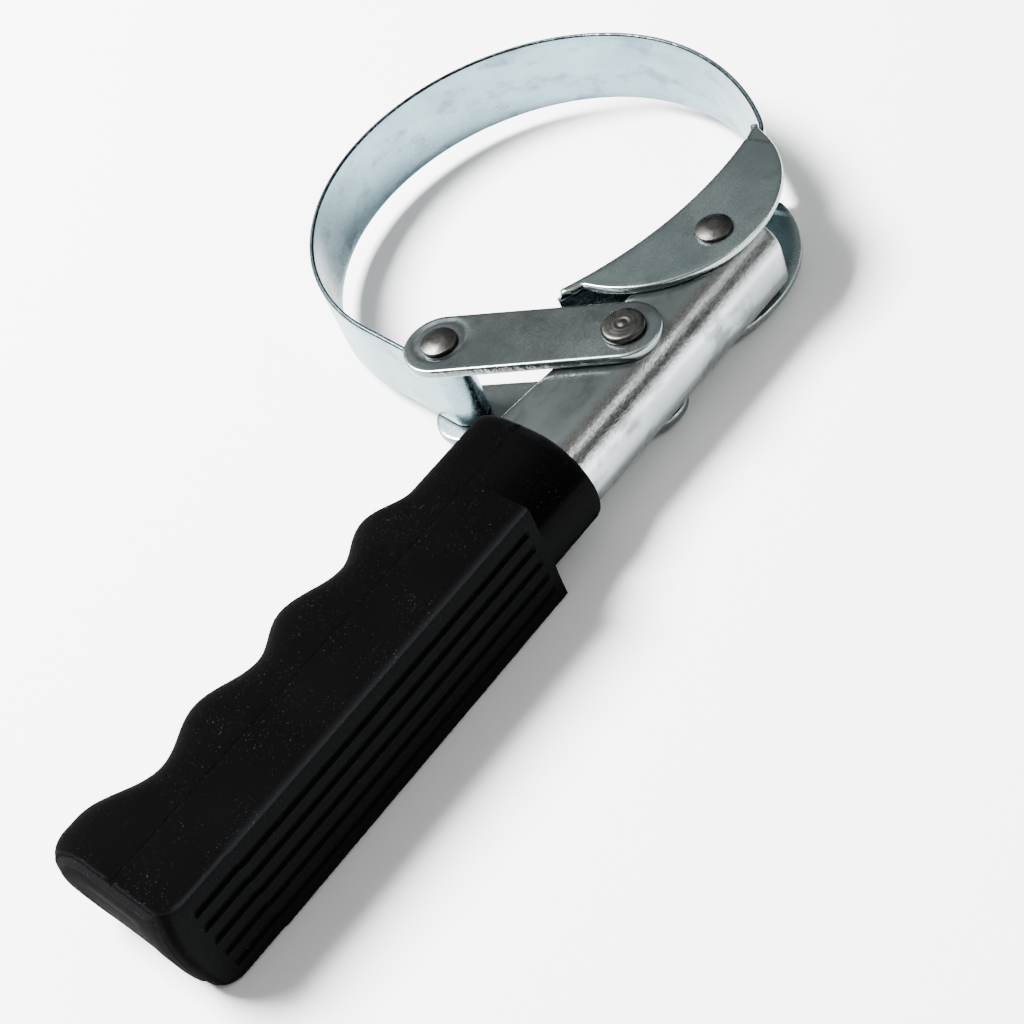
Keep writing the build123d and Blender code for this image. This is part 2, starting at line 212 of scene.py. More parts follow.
def strip_section(half_t, half_w, edge_r):
    """The strip's section as (across, z), with rounded edges and extra points on its flats."""
    loop = []
    for across_side, z_side, start in ((1, 1, 0), (-1, 1, 90), (-1, -1, 180), (1, -1, 270)):
        for k in range(BAND_EDGE_STEPS + 1):
            turn = math.radians(start + 90 * k / BAND_EDGE_STEPS)
            across = across_side * (half_t - edge_r) + edge_r * math.cos(turn)
            loop.append((across, z_side * (half_w - edge_r) + edge_r * math.sin(turn)))
    dense = []
    for a, b in zip(loop, loop[1:] + loop[:1]):
        dense.append(a)
        if abs(b[1] - a[1]) > half_w:
            dense += zip(between(a[0], b[0], BAND_FLAT_STEPS, short=1),
                         between(a[1], b[1], BAND_FLAT_STEPS, short=1))
    return dense


def make_band():
    """One continuous sprung strip, very slightly uneven as rolled steel is."""
    section = strip_section(BAND_T / 2, BAND_HALF, BAND_EDGE_R)
    rings = []
    for spot, out in band_route(BAND_STEP):
        place = Vector((spot.x / BAND_WAVE_LENGTH, spot.y / BAND_WAVE_LENGTH, BAND_WAVE_SEED))
        # the wave only goes inwards, so that the strip stays inside its CAD twin's outline
        wave = BAND_WAVE * (noise.noise(place) - 1)
        rings.append([
            (spot.x + out.x * (n + wave), spot.y + out.y * (n + wave), z) for n, z in section
        ])
    return loft("band", rings, sharp_deg=35)


# ---- the saddle ------------------------------------------------------------------------------
# the crescent flange's rim runs through the nose, the belly and the heel, and is cut to the toe
BELLY = Vector((5.0, -54.4))
NOSE = Vector((24.3, -44.4))
CRESCENT_HEEL = Vector((-20.2, -30.6))
TOE = Vector((27.9, -39.4))
# the flange narrows from FLANGE_X towards the heel, whose last bit rounds down to the band
FLANGE_X, FLANGE_DEPTH, HEEL_DEPTH = -21.0, 2.6, 1.6
HEEL_STEP_X, HEEL_ROUND = -22.9, 0.6
# where the web ends on the tight bend, in degrees round the bend's centre
TOE_DEG = -55.0
# where the press bent the toe, measured along the web from the tight bend's start
TOE_CREASES, CREASE_STEP, CREASE_RUN = (-2.8, 0.3), 0.16, 0.35
# how much lower the toe's last station is, and the one before it
TOE_ROUND = (0.45, 0.12)
SADDLE_STEP = 0.5
# outer bend, inner bend and worn edge where the flange is deep, and the edge's stretch outwards
BEND_OUT_R, BEND_IN_R, FLANGE_EDGE_R, EDGE_STRETCH = 1.45, 0.5, 0.4, 1.6
# the least flange, and the least radius, where the crescent runs out
LEAST_FLANGE, LEAST_R = 0.02, 0.01
# how deep a weld mark is, and the width of its sloping wall
WELD_SINK, WELD_WALL = 0.3, 0.9
# the toe's cut limits the flange only where the web faces it at least this much
LEAST_FACING = 0.05


def circle_through(a, b, c):
    """Centre and radius of the circle through three points."""
    d = 2 * (a.x * (b.y - c.y) + b.x * (c.y - a.y) + c.x * (a.y - b.y))
    aa, bb, cc = a.length_squared, b.length_squared, c.length_squared
    x = (aa * (b.y - c.y) + bb * (c.y - a.y) + cc * (a.y - b.y)) / d
    y = (aa * (c.x - b.x) + bb * (a.x - c.x) + cc * (b.x - a.x)) / d
    centre = Vector((x, y))
    return centre, (a - centre).length


RIM_CENTRE, RIM_R = circle_through(NOSE, BELLY, CRESCENT_HEEL)


def crescent_depth(spot, out):
    """How far the flange reaches from a spot on the web's inner face, along its normal."""
    rel = spot - RIM_CENTRE
    along = rel.dot(out)
    inside = along * along - rel.length_squared + RIM_R * RIM_R
    depth = -along + math.sqrt(inside) if inside > 0 else 0.0
    edge = TOE - NOSE
    side = Vector((edge.y, -edge.x)).normalized()
    if side.dot(out) < 0:
        side = -side
    facing = out.dot(side)
    if facing > LEAST_FACING:
        depth = min(depth, (NOSE - spot).dot(side) / facing)
    return max(0.0, depth)


def saddle_section(depth, top):
    """The upper half of the channel's section as (outward, z) from the web's inner face."""
    t = SADDLE_SHEET
    reach = t + max(LEAST_FLANGE, depth - t)
    flange = reach - t
    under = top - min(t, LEAST_FLANGE + flange)
    bend = min(BEND_OUT_R, 0.2 + depth * 0.8)
    inner = min(BEND_IN_R, max(LEAST_R, flange * 0.4))
    edge = min(FLANGE_EDGE_R, max(LEAST_R, (top - under) * 0.35), flange * 0.45 + 0.2)
    long_edge, low_edge = edge * EDGE_STRETCH, edge * 0.5
    # up the web's inner face, round the bend and out along the flange
    half = [(0.0, z) for z in between(0.0, top - bend, 15, first=0)]
    half += [(bend - bend * math.cos(turn), top - bend + bend * math.sin(turn))
             for turn in quarter(6, 1)]
    far = reach - long_edge
    half += [(n, top) for n in between(bend, far, 8)]
    # round the flange's two edges
    half += [(far + long_edge * math.sin(turn), top - edge + edge * math.cos(turn))
             for turn in quarter(5, 1)]
    near = reach - low_edge
    half += [(near + low_edge * math.cos(turn), under + low_edge - low_edge * math.sin(turn))
             for turn in quarter(3)]
    # back under the flange and down the web's outer face
    half += [(n, under) for n in between(near, t + inner, 6)]
    half += [(t + inner - inner * math.sin(turn), under - inner + inner * math.cos(turn))
             for turn in quarter(4, 1)]
    half += [(t, z) for z in between(half[-1][1], 0.0, 7, short=1)]
    return half


def saddle_stations(step):
    """Spots on the web's inner face with outward normals, from its heel to its toe."""
    runs = list(arc_run(WEB, WEB_BAND_R - WEB_SHIFT, HEEL_DEG, TURN_START, step))
    runs += arc_run(TURN, TURN_R - WEB_SHIFT, TURN_START, TOE_DEG, step / 2)
    runs.append((polar(TURN, TURN_R - WEB_SHIFT, TOE_DEG), polar(RING, 1.0, TOE_DEG)))
    return runs


def weld_sink(spot, z):
    """How far the web's inner face is sunk by its spot welds."""
    reach = min(math.hypot(spot.x - weld_x, z) for weld_x in WELD_X)
    return WELD_SINK * (1 - smooth(WELD_R - WELD_WALL, WELD_R, reach))


def heel_shape(spot, depth, top):
    """The flange's depth and height where the heel narrows and rounds down to the band."""
    share = min(1.0, max(0.0, (spot.x - HEEL_STEP_X) / (FLANGE_X - HEEL_STEP_X)))
    depth = max(depth, HEEL_DEPTH + (FLANGE_DEPTH - HEEL_DEPTH) * share)
    past = max(0.0, (HEEL_STEP_X + HEEL_ROUND - spot.x) / HEEL_ROUND)
    fall = 1 - math.sqrt(max(0.0, 1 - past * past))
    return depth, top - (SADDLE_TOP - BAND_HALF) * fall


def make_saddle():
    """The pressed channel: crescent flanges on a curved web, with weld marks on its inside."""
    rings = []
    along = 0.0
    previous = None
    stations = saddle_stations(SADDLE_STEP)
    toe_at = WEB_BAND_R * math.radians(TURN_START - angle_of(WEB, stations[0][0]))
    for number, (spot, out) in enumerate(stations):
        along += (spot - previous).length if previous else 0.0
        previous = spot
        depth, top = crescent_depth(spot, out), SADDLE_TOP
        if spot.x < 0:
            depth, top = heel_shape(spot, depth, top)
        for crease in TOE_CREASES:
            top -= CREASE_STEP * smooth(crease, crease + CREASE_RUN, along - toe_at)
        left = len(stations) - 1 - number
        if left < len(TOE_ROUND):
            top -= TOE_ROUND[left]
        half = saddle_section(depth, top)
        ring = []
        for n, z in half + [(n, -z) for n, z in reversed(half[1:])]:
            if n == 0.0:
                n = weld_sink(spot, z)
            ring.append((spot.x + out.x * n, spot.y + out.y * n, z))
        rings.append(ring)
    return loft("saddle_pressing", rings, sharp_deg=40)


# ---- the handle ------------------------------------------------------------------------------
HANDLE_Y, HANDLE_HALF, HANDLE_SHEET = -46.8, 8.45, 2.0
BACK_Y, BEND_R, LIP_EDGE_R, LEAST_EDGE_R = -56.1, 5.9, 0.45, 0.05
HANDLE_END_X, TANG_END_X, GRIP_END_X = 7.3, -140.0, -53.2
# the flange is deepest at the grip, narrows towards the pivot end and then stays even
LIP_AT_GRIP, LIP_TAPER, LIP_MIN = 9.8, 0.105, 4.6
# the worn front end as (how far from the end, how far the section is inset)
FRONT_ROUND = ((0.0, 0.4), (0.1, 0.2), (0.3, 0.06))
# the tang is out of sight inside the grip, so few stations are enough there
FINE_FROM_X, FINE_TO_X = HANDLE_END_X - 0.5, GRIP_END_X - 6
TANG_STATIONS = ((GRIP_END_X - 20, 0.0), (TANG_END_X + 0.3, 0.0), (TANG_END_X, 0.3))
HANDLE_STEP, HANDLE_WAVE = 1.0, 0.05
HANDLE_WAVE_LENGTH, HANDLE_WAVE_WIDTH = 13, 9


def handle_half(lip_y, inset):
    """Half of the channel's section as (y, z): out along the back, round and down the inside."""
    back, half, bend = BACK_Y + inset, HANDLE_HALF - inset, BEND_R - inset
    lip = lip_y - inset
    edge = max(LEAST_EDGE_R, LIP_EDGE_R - inset)
    edge_y = lip - edge
    inner_back = BACK_Y + HANDLE_SHEET - inset
    inner_half = HANDLE_HALF - HANDLE_SHEET + inset
    inner_bend = BEND_R - HANDLE_SHEET + inset
    loop = [(back, z) for z in between(0.0, half - bend, 3, first=0, short=1)]
    loop += [(back + bend - bend * math.cos(turn), half - bend + bend * math.sin(turn))
             for turn in quarter(12)]
    loop += [(y, half) for y in between(back + bend, edge_y, 10, short=1)]
    loop += [(edge_y + edge * math.sin(turn), half - edge + edge * math.cos(turn))
             for turn in quarter(4)]
    loop += [(edge_y + edge * math.cos(turn), inner_half + edge - edge * math.sin(turn))
             for turn in quarter(4)]
    start = inner_back + inner_bend
    last = inner_half - inner_bend
    loop += [(y, inner_half) for y in between(edge_y, start, 8, short=1)]
    loop += [(start - inner_bend * math.sin(turn), last + inner_bend * math.cos(turn))
             for turn in quarter(8)]
    loop += [(inner_back, z) for z in between(last, 0.0, 3, short=1)]
    return loop


def lip_at(x):
    """The channel's flange edge."""
    wide = LIP_AT_GRIP - LIP_TAPER * max(0.0, x - GRIP_END_X)
    return HANDLE_Y + max(wide, LIP_MIN)


def make_handle():
    """The pressed channel, with softly worn cut ends."""
    stations = [(HANDLE_END_X - back, inset) for back, inset in FRONT_ROUND]
    x = FINE_FROM_X
    while x > FINE_TO_X:
        stations.append((x, 0.0))
        x -= HANDLE_STEP
    stations += TANG_STATIONS
    rings = []
    for x, inset in stations:
        half = handle_half(lip_at(x), inset)
        ring = []
        for y, z in half + [(y, -z) for y, z in reversed(half[1:])]:
            place = (x / HANDLE_WAVE_LENGTH, y / HANDLE_WAVE_WIDTH, z / HANDLE_WAVE_WIDTH)
            wave = HANDLE_WAVE * noise.noise(Vector(place)) if y < HANDLE_Y else 0.0
            ring.append((x, y + wave, z))
        rings.append(ring)
    return loft("handle_pressing", rings, sharp_deg=40)


# ---- the links -------------------------------------------------------------------------------
LINK_R_EYE, LINK_R_HANDLE, LINK_STEP = 7.3, 7.0, 0.45
# the rim as (outward, height above the upper face): rolled over at the top, torn further down
LINK_ROLLED = ((-0.95, 0.0), (-0.62, 0.0), (-0.36, -0.03), (-0.18, -0.12), (-0.07, -0.26),
               (-0.01, -0.5), (0.0, -0.8), (0.0, -1.1))
LINK_TORN = ((-0.03, -1.3), (-0.08, -1.55), (-0.14, -1.78), (-0.3, -1.9))
# the rim is uneven below this height, and it stays this far inside its outline
ROUGH_FROM, ROUGH_ROOM = -0.2, 0.03
COARSE_TEAR, COARSE_PITCH, COARSE_DROP = 0.10, 2.3, 3
FINE_TEAR, FINE_PITCH, FINE_DROP = 0.05, 6, 7
# the discs' rims are torn less than the straight runs
END_TEAR = 0.15
LINK_FACE_STEPS = 12
# the riveting die's print is slightly off the eye's axis
IMPRINT = EYE + Vector((0.9, 0.5))
IMPRINT_R, IMPRINT_RING, IMPRINT_RING_W = 5.0, 0.14, 0.45
IMPRINT_SINK, IMPRINT_WALL = 0.05, 0.6


def link_outline(step):
    """The hull of the two end discs as (point, outward normal, straight), anticlockwise."""
    span = LINK_PIVOT - EYE
    heading = math.degrees(math.atan2(span.y, span.x))
    tilt = math.degrees(math.acos((LINK_R_EYE - LINK_R_HANDLE) / span.length))
    discs = (
        (EYE, LINK_R_EYE, heading + tilt, heading + 360 - tilt),
        (LINK_PIVOT, LINK_R_HANDLE, heading + 360 - tilt, heading + tilt + 360),
    )
    loop = []
    for disc, other in (discs, discs[::-1]):
        centre, radius, start, stop = disc
        count = round(math.radians(stop - start) * radius / step)
        for degrees in between(start, stop, count, first=0, short=1):
            loop.append((polar(centre, radius, degrees), polar(RING, 1, degrees), 0.0))
        a, b = polar(centre, radius, stop), polar(other[0], other[1], stop)
        side = polar(RING, 1, stop)
        runs = round((b - a).length / step)
        loop += [(a.lerp(b, i / runs), side, math.sin(math.pi * i / runs)) for i in range(runs)]
    return loop


def plate_sink(x, y):
    """How far the link's face is pressed in by the riveting die, at a point."""
    reach = (Vector((x, y)) - IMPRINT).length
    ring = IMPRINT_RING * bell(reach, IMPRINT_R, IMPRINT_RING_W)
    return ring + IMPRINT_SINK * (1 - smooth(IMPRINT_R - IMPRINT_WALL, IMPRINT_R, reach))


def tear_at(spot, drop, straight):
    """How far the sheared rim is out of true at a spot and height."""
    if drop >= ROUGH_FROM:
        return 0.0
    coarse = Vector((spot.x * COARSE_PITCH, spot.y * COARSE_PITCH, drop * COARSE_DROP))
    fine = Vector((spot.x * FINE_PITCH, spot.y * FINE_PITCH, drop * FINE_DROP))
    rough = COARSE_TEAR * noise.noise(coarse) + FINE_TEAR * noise.noise(fine)
    return rough * (END_TEAR + (1 - END_TEAR) * straight)


def fill_face(points, faces, rim, z_at, flip):
    """Fills a broad face from its rim with copies that shrink to the line between the axes."""
    axis = LINK_PIVOT - EYE
    last = rim
    for share in between(0.0, 1.0, LINK_FACE_STEPS):
        new = list(range(len(points), len(points) + len(rim)))
        for index in rim:
            x, y, _ = points[index]
            along = (Vector((x, y)) - EYE).dot(axis) / axis.length_squared
            foot = EYE + axis * min(1.0, max(0.0, along))
            x, y = x + (foot.x - x) * share, y + (foot.y - y) * share
            points.append((x, y, z_at(x, y)))
        for i in range(len(rim)):
            j = (i + 1) % len(rim)
            quad = (last[i], last[j], new[j], new[i])
            faces.append(quad[::-1] if flip else quad)
        last = new


def make_link(name, side):
    """A blanked link: rolled over at one face, torn along its sheared edge at the other."""
    outline = link_outline(LINK_STEP)
    points = []
    profile = LINK_ROLLED + LINK_TORN
    for out, drop in profile:
        for spot, normal, straight in outline:
            shift = min(0.0, out + tear_at(spot, drop, straight) - ROUGH_ROOM)
            p = spot + normal * shift
            points.append((p.x, p.y, LINK_TOP + drop))
    count = len(outline)
    faces = [(a, d, c, b) for a, b, c, d in skin(len(profile), count)]
    bottom = list(range((len(profile) - 1) * count, len(profile) * count))
    fill_face(points, faces, list(range(count)), lambda x, y: LINK_TOP - plate_sink(x, y), False)
    fill_face(points, faces, bottom, lambda x, y: SHEET_Z, True)
    if side < 0:
        points = [(x, y, -z) for x, y, z in points]
        faces = [face[::-1] for face in faces]
    piece = mesh_piece(name, points, faces, sharp_deg=45)
    weld(piece, distance=0.01)
    return piece


def weld(piece, distance):
    """Joins points closer than a distance in millimetres."""
    work = bmesh.new()
    work.from_mesh(piece.data)
    bmesh.ops.remove_doubles(work, verts=work.verts, dist=distance * MM)
    bmesh.ops.dissolve_degenerate(work, edges=work.edges, dist=distance * MM)
    work.to_mesh(piece.data)
    work.free()


def shear_at(vertex):
    """How torn a link is at a vertex: fully along the sheared edges of its straight run."""
    spot = Vector(vertex.co[:2]) / MM
    span = LINK_PIVOT - EYE
    along = (spot - EYE).dot(span) / span.length_squared
    aside = abs((spot - EYE).cross(span)) / span.length
    height = abs(vertex.co.z) / MM
    above = smooth(SHEET_Z, SHEET_Z + 0.3, height)
    below = 1 - smooth(LINK_TOP - 0.6, LINK_TOP - 0.2, height)
    straight = smooth(-0.05, 0.1, along) * (1 - smooth(0.9, 1.05, along))
    return above * below * straight * smooth(LINK_R_HANDLE - 1.0, LINK_R_HANDLE - 0.4, aside)


# ---- the rivets ------------------------------------------------------------------------------
RIVET_TURNS, RIVET_WOBBLE, RIVET_TILT = 64, 0.02, 0.0024
# the crown's first ring is this small, and the shank starts this far under the head
AXIS_R, SHANK_DROP = 0.01, 0.02
# only points beyond this height belong to a head, and tilt with it
HEAD_Z = SHEET_Z + 1
PIVOT_SHANK_R, EYE_SHANK_R = 2.5, 2.0
# the domed head: radius, height, straight wall, rounded rim, and the dimple on its crown
DOME_R, DOME_H, DOME_WALL, DOME_RIM_R = 3.6, 1.35, 0.45, 0.28
DIMPLE_SINK, DIMPLE_IN_R, DIMPLE_OUT_R = 0.06, 0.5, 1.5
# the flat head: radius, height, flat face, and how far its rim rounds down
FLAT_R, FLAT_H, FLAT_FACE_R, FLAT_FALL = 4.2, 1.6, 3.3, 0.82
FLAT_FACE_DROP, FLAT_RIM_DROP, FLAT_CROWN = 0.12, 1.05, 0.012
RIPPLE_H, RIPPLES_PER_MM = 0.006, 8.0
BOSS_H, BOSS_W = 0.05, 0.45
MOAT_SINK, MOAT_R, MOAT_W = 0.09, 0.95, 0.35
# how both heads meet the face under them, as (how far inside the radius, height)
DOME_FOOT = ((0.0, 0.12), (0.1, 0.03), (0.35, 0.0))
FLAT_FOOT = ((0.0, 0.3), (0.12, 0.08), (0.3, 0.0))


def make_rivet(name, centre, shank_r, profile, seed):
    """A turned rivet: a head profile at both ends of its shank, peened slightly out of true."""
    spine = profile + [(shank_r, profile[-1][1] - SHANK_DROP)]
    rings = []
    for r, z in spine + [(r, -z) for r, z in reversed(spine)]:
        ring = []
        for k in range(RIVET_TURNS):
            turn = 2 * math.pi * k / RIVET_TURNS
            uneven = noise.noise(Vector((math.cos(turn), math.sin(turn), seed)))
            reach = max(AXIS_R, r) * (1 + RIVET_WOBBLE * uneven)
            tilt = RIVET_TILT * r * math.sin(turn + seed) if abs(z) > HEAD_Z else 0.0
            x, y = centre.x + reach * math.cos(turn), centre.y + reach * math.sin(turn)
            ring.append((x, y, z + tilt))
        rings.append(ring[::-1])
    return loft(name, rings, sharp_deg=30)


def dome_profile(face_z):
    """A low dome on a short wall, with a rounded rim and a faint dimple on its crown."""
    crown, reach = DOME_H - DOME_WALL - DOME_RIM_R, DOME_R - DOME_RIM_R
    ball = (reach * reach + crown * crown) / (2 * crown)
    profile = []
    for r in between(0.0, reach, 15, first=0):
        z = face_z + DOME_H - ball + math.sqrt(ball * ball - r * r)
        profile.append((r, z - DIMPLE_SINK * (1 - smooth(DIMPLE_IN_R, DIMPLE_OUT_R, r))))
    rim = profile[-1][1]
    profile += [(reach + DOME_RIM_R * math.sin(turn), rim - DOME_RIM_R * (1 - math.cos(turn)))
                for turn in quarter(5, 1)]
    return profile + [(DOME_R - inside, face_z + z) for inside, z in DOME_FOOT]


def flat_profile(face_z):
    """A flat head with turned rings, a small boss at its centre and a broad rounded rim."""
    face_top = face_z + FLAT_H - FLAT_FACE_DROP
    rim = face_z + FLAT_H - FLAT_RIM_DROP
    profile = []
    for r in between(0.0, FLAT_FACE_R, 29, first=0):
        relief = RIPPLE_H * math.cos(r * RIPPLES_PER_MM) + BOSS_H * bell(r, 0.0, BOSS_W)
        relief -= MOAT_SINK * bell(r, MOAT_R, MOAT_W) + FLAT_CROWN * r * r
        profile.append((r, face_top + relief))
    wide = FLAT_R - FLAT_FACE_R
    profile += [(FLAT_FACE_R + wide * math.sin(turn), rim + FLAT_FALL * math.cos(turn))
                for turn in quarter(7, 1)]
    return profile + [(FLAT_R - inside, face_z + z) for inside, z in FLAT_FOOT]


# ---- the grip --------------------------------------------------------------------------------
HALF_H = 11.6
PALM_Y, COLLAR_PALM_Y, VALLEY_Y = -58.8, -58.5, -29.8
BODY_X, BUTT_X, BUTT_DOME = -67.6, -156.2, 1.9
RIDGE_X, RIDGE_PITCH, RIDGE_H, RIDGE_COUNT = -81.5, 21.6, 3.8, 3
RIDGE_LEAD, RIDGE_FALL = 9.5, 9.5
FLARE_H, FLARE_START_X, FLARE_X = 6.3, -136.0, -150.5
GROOVES, GROOVE_PITCH, GROOVE_W, GROOVE_D = 5, 3.9, 1.7, 0.9
GROOVE_X0, GROOVE_X1, GROOVE_END_RUN = -69.5, -152.0, 0.9
# points across a groove's wall, as distances outwards from its edge
GROOVE_WALL = (0.5, 0.18, 0.06, -0.02, -0.12, -0.3)
# the mould's parting line, and the step that its end insert leaves across the ribs
PART_Y, SEAM_H, SEAM_HALF, SEAM_SIDE, SEAM_CREST = -44.4, 0.08, 0.45, 0.16, 0.07
SEAM_SINK, SEAM_DRIFT = 0.03, 0.12
# the edge wear and painted highlight leave out this much beside the parting line and the collar's
# step
SEAM_SPARED, STEP_SPARED = 0.7, 0.6
INSERT_X, INSERT_STEP = -141.9, 0.22
# the collar's rounded mouth as (how far the section is inset, how far behind the end)
COLLAR_MOUTH = ((4.0, 0.6), (2.2, 0.15), (1.4, 0.0), (0.8, 0.0), (0.38, 0.1), (0.12, 0.35),
                (0.0, 0.8))
# the step from collar to body as (share of the body's shape, how far before the body)
BODY_STEP = ((0.12, 0.1), (0.5, 0.04), (0.94, -0.02), (1.0, -0.2))
PALM_CORNER_R, PALM_INSET, COLLAR_CORNER_R = 0.45, 0.6, 0.5
# keeps the corner's points apart where the section is half round
CORNER_GAP = 0.02
GRIP_STEP, GRIP_FINE_STEP = 0.7, 0.3
# the butt: its length, the roundings of its palm and finger sides, and its rim
BUTT_RUN, BUTT_STEPS, BUTT_PALM_R, BUTT_CROWN_R = 6.6, 18, 4.5, 3.6
RIM_FALL, RIM_INSET, RIM_DEPTH, BUTT_RECESS = 0.37, 0.9, 16, 0.4


def crown_y(x):
    """The finger side's crown line."""
    points = [(BODY_X, VALLEY_Y), (RIDGE_X + RIDGE_LEAD, VALLEY_Y)]
    for number in range(RIDGE_COUNT):
        crest = RIDGE_X - number * RIDGE_PITCH
        points += [(crest, VALLEY_Y + RIDGE_H), (crest - RIDGE_FALL, VALLEY_Y)]
    points[-1] = (FLARE_START_X, VALLEY_Y)
    points.append((FLARE_X, VALLEY_Y + FLARE_H))
    for (x0, y0), (x1, y1) in zip(points, points[1:]):
        if x1 <= x <= x0:
            share = (1 - math.cos(math.pi * (x0 - x) / (x0 - x1))) / 2
            return y0 + (y1 - y0) * share
    return VALLEY_Y if x > BODY_X else VALLEY_Y + FLARE_H


GROOVE_ZS = [(number - (GROOVES - 1) / 2) * GROOVE_PITCH for number in range(GROOVES)]


def palm_zs():
    """Where the palm face's points lie across, with closer points at each groove."""
    walls = [GROOVE_W / 2 + off for off in GROOVE_WALL]
    zs = [-HALF_H + PALM_INSET]
    for middle in GROOVE_ZS:
        zs += [middle - wall for wall in walls] + [middle]
        zs += [middle + wall for wall in reversed(walls)]
    return zs + [HALF_H - PALM_INSET]


PALM_ZS = palm_zs()


def groove_depth(z, x):
    """How deep the palm grooves are at a point."""
    ends = smooth(0.0, GROOVE_END_RUN, GROOVE_X0 - x) * smooth(0.0, GROOVE_END_RUN, x - GROOVE_X1)
    off = min(abs(z - middle) for middle in GROOVE_ZS)
    deep = 1 - smooth(GROOVE_W / 2 - 0.16, GROOVE_W / 2 + 0.04, off)
    return GROOVE_D * deep * ends


def side_points(start, stop, x):
    """The broad side's points as (y, how proud), with the mould's broken parting line."""
    uneven = 0.5 + 1.1 * noise.noise(Vector((x * 0.7, 0.0, 7.0)))
    bead = SEAM_H * max(0.0, uneven)
    middle = PART_Y + SEAM_DRIFT * noise.noise(Vector((x * 0.25, 3.0, 0.0)))
    near, far = middle - SEAM_HALF, middle + SEAM_HALF
    points = [(y, 0.0) for y in between(start, near, 16, short=1)]
    points += [(near, 0.0), (middle - SEAM_SIDE, -SEAM_SINK), (middle - SEAM_CREST, bead)]
    points += [(middle + SEAM_CREST, bead), (middle + SEAM_SIDE, -SEAM_SINK), (far, 0.0)]
    return points + [(y, 0.0) for y in between(far, stop, 6, short=1)]


def palm_corner(palm, half, corner, body):
    """The rounded corner between the palm and a broad side, as (y, z) for z above 0."""
    points = []
    for k, turn in enumerate(quarter(5, 1), 1):
        y = palm + corner - corner * math.cos(turn)
        z = half - corner + corner * math.sin(turn)
        round_y = palm + half + CORNER_GAP * k
        points.append((round_y + (y - round_y) * body, half + (z - half) * body))
    return points


def grip_section(palm, crown, half, corner, x, grooved, body):
    """The grip's section as (y, z); its palm is flat where body is 1, half round where it is 0."""
    finger = crown - half
    loop = []
    for palm_z in PALM_ZS:
        y, z = palm + groove_depth(palm_z, x) * grooved, palm_z * (half / HALF_H)
        turn = math.pi / 2 * (z / (half - PALM_INSET))
        round_y, round_z = palm + half - half * math.cos(turn), half * math.sin(turn)
        loop.append((round_y + (y - round_y) * body, round_z + (z - round_z) * body))
    corner_points = palm_corner(palm, half, corner, body)
    loop += corner_points
    side = side_points(loop[-1][0], finger, x)
    loop += [(y, half + proud) for y, proud in side]
    for k in range(37):
        turn = math.radians(180 * k / 36)
        loop.append((finger + half * math.sin(turn), half * math.cos(turn)))
    loop += [(y, -half - proud) for y, proud in reversed(side)]
    loop += [(y, -z) for y, z in reversed(corner_points)]
    return loop


def grip_ring(x, palm, crown, half=HALF_H, corner=PALM_CORNER_R, grooved=0, body=1.0, bulge=0.0):
    """One ring of the grip's skin, bulging towards the butt by the given length."""
    section = grip_section(palm, crown, half, corner, x, grooved, body)
    return [(x - bulge * (1 - (z / HALF_H) ** 2), y, z) for y, z in section]


def collar_rings():
    """The collar's mouth, the collar, and the step up to the body."""
    rings = []
    for inset, back in COLLAR_MOUTH:
        rings.append(grip_ring(GRIP_END_X - back, COLLAR_PALM_Y + inset, VALLEY_Y - inset,
                               HALF_H - inset, COLLAR_CORNER_R, body=0.0))
    for x in between(GRIP_END_X - COLLAR_MOUTH[-1][1], BODY_X + 0.25, 11):
        rings.append(grip_ring(x, COLLAR_PALM_Y, VALLEY_Y, corner=COLLAR_CORNER_R, body=0.0))
    for share, before in BODY_STEP:
        palm = PALM_Y + 0.25 * (1 - share)
        rings.append(grip_ring(BODY_X + before, palm, VALLEY_Y, body=share))
    return rings


def body_rings():
    """The ribbed and ridged body, with closer rings where something ends or steps."""
    rings = []
    x = BODY_X - 0.7
    while x > BUTT_X + 7.0:
        sunk = INSERT_STEP * smooth(0.0, 0.5, INSERT_X - x)
        rings.append(grip_ring(x, PALM_Y + sunk, crown_y(x), grooved=1))
        close = x > GROOVE_X0 - 2 or x < GROOVE_X1 + 2 or abs(x - INSERT_X) < 1.5
        x -= GRIP_FINE_STEP if close else GRIP_STEP
    return rings


def rounding(radius, gap):
    """How far a rounded corner has fallen back at a gap from its end."""
    return radius - math.sqrt(max(0.0, radius ** 2 - max(0.0, radius - gap) ** 2))


def butt_rings():
    """The last stretch, where both sides round over and the end swells."""
    rings = []
    for k in range(BUTT_STEPS):
        gap = BUTT_RUN * (1 - k / BUTT_STEPS)
        x = BUTT_X + gap
        palm = PALM_Y + INSERT_STEP * smooth(0.0, 3.0, gap) + rounding(BUTT_PALM_R, gap)
        crown = crown_y(x) - rounding(BUTT_CROWN_R, gap)
        corner = PALM_CORNER_R + 0.3 * (1 - gap / BUTT_RUN)
        bulge = BUTT_DOME * (1 - smooth(0.0, 7.5, gap))
        rings.append(grip_ring(x, palm, crown, corner=corner, grooved=1, bulge=bulge))
    return rings


